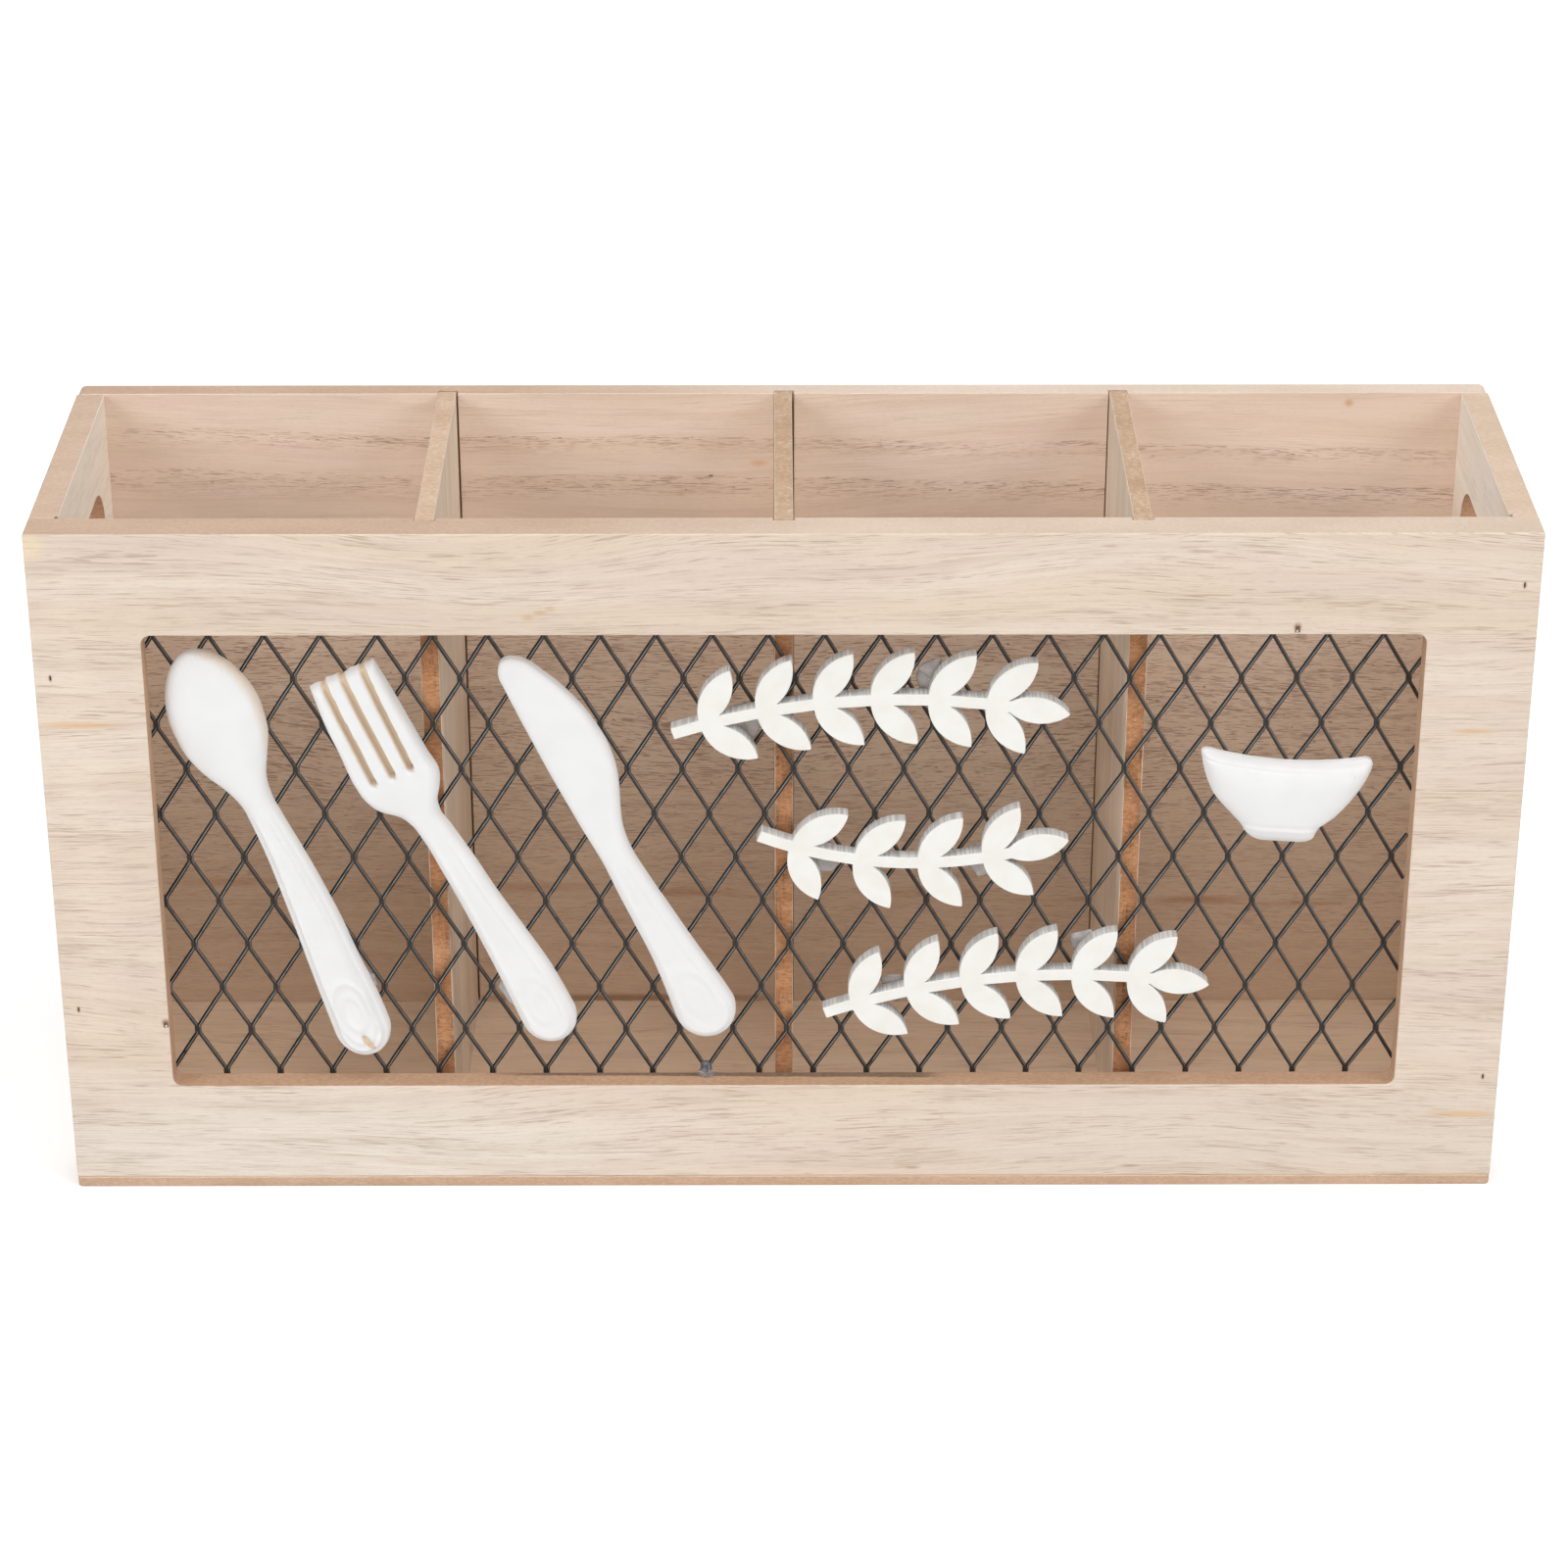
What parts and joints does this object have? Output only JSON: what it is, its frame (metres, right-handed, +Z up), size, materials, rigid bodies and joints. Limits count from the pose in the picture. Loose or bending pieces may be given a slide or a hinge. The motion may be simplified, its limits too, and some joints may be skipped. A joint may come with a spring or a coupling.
{
  "type": "cutlery holder",
  "caption": "Open-topped wooden cutlery holder with upright dividers, hand holes in its ends and a window of diamond mesh that carries white cutlery reliefs.",
  "frame": {"origin": "middle of the underside of the bottom board", "axes": "+X to the right seen from the front, +Y from the front to the back, +Z up"},
  "size_m": [0.36, 0.096, 0.181],
  "materials": {
    "pale_veneer": "bare pale veneer on fibreboard, sanded, brown edges",
    "fibreboard": "bare fibreboard",
    "dark_steel": "dark, slightly glossy paint",
    "steel_wire": "plain bright wire",
    "white_resin": "white cast resin, satin",
    "cream_acrylic": "off-white face, grey sawn edges",
    "clear_glue": "clear hot-melt glue"
  },
  "bodies": {
    "root": {"front_panel": "pale_veneer", "back_panel": "pale_veneer", "left_end_panel": "pale_veneer", "right_end_panel": "pale_veneer", "left_divider": "pale_veneer", "centre_divider": "pale_veneer", "right_divider": "pale_veneer", "bottom_panel": "fibreboard", "wire_mesh": "dark_steel", "front_brads": "steel_wire", "back_brads": "steel_wire", "bottom_brads": "steel_wire", "mesh_staples": "steel_wire", "spoon_relief": "white_resin", "fork_relief": "white_resin", "knife_relief": "white_resin", "bowl_relief": "white_resin", "upper_sprig": "cream_acrylic", "middle_sprig": "cream_acrylic", "lower_sprig": "cream_acrylic", "ornament_glue": "clear_glue", "sill_glue": "clear_glue"}
  },
  "joints": []
}
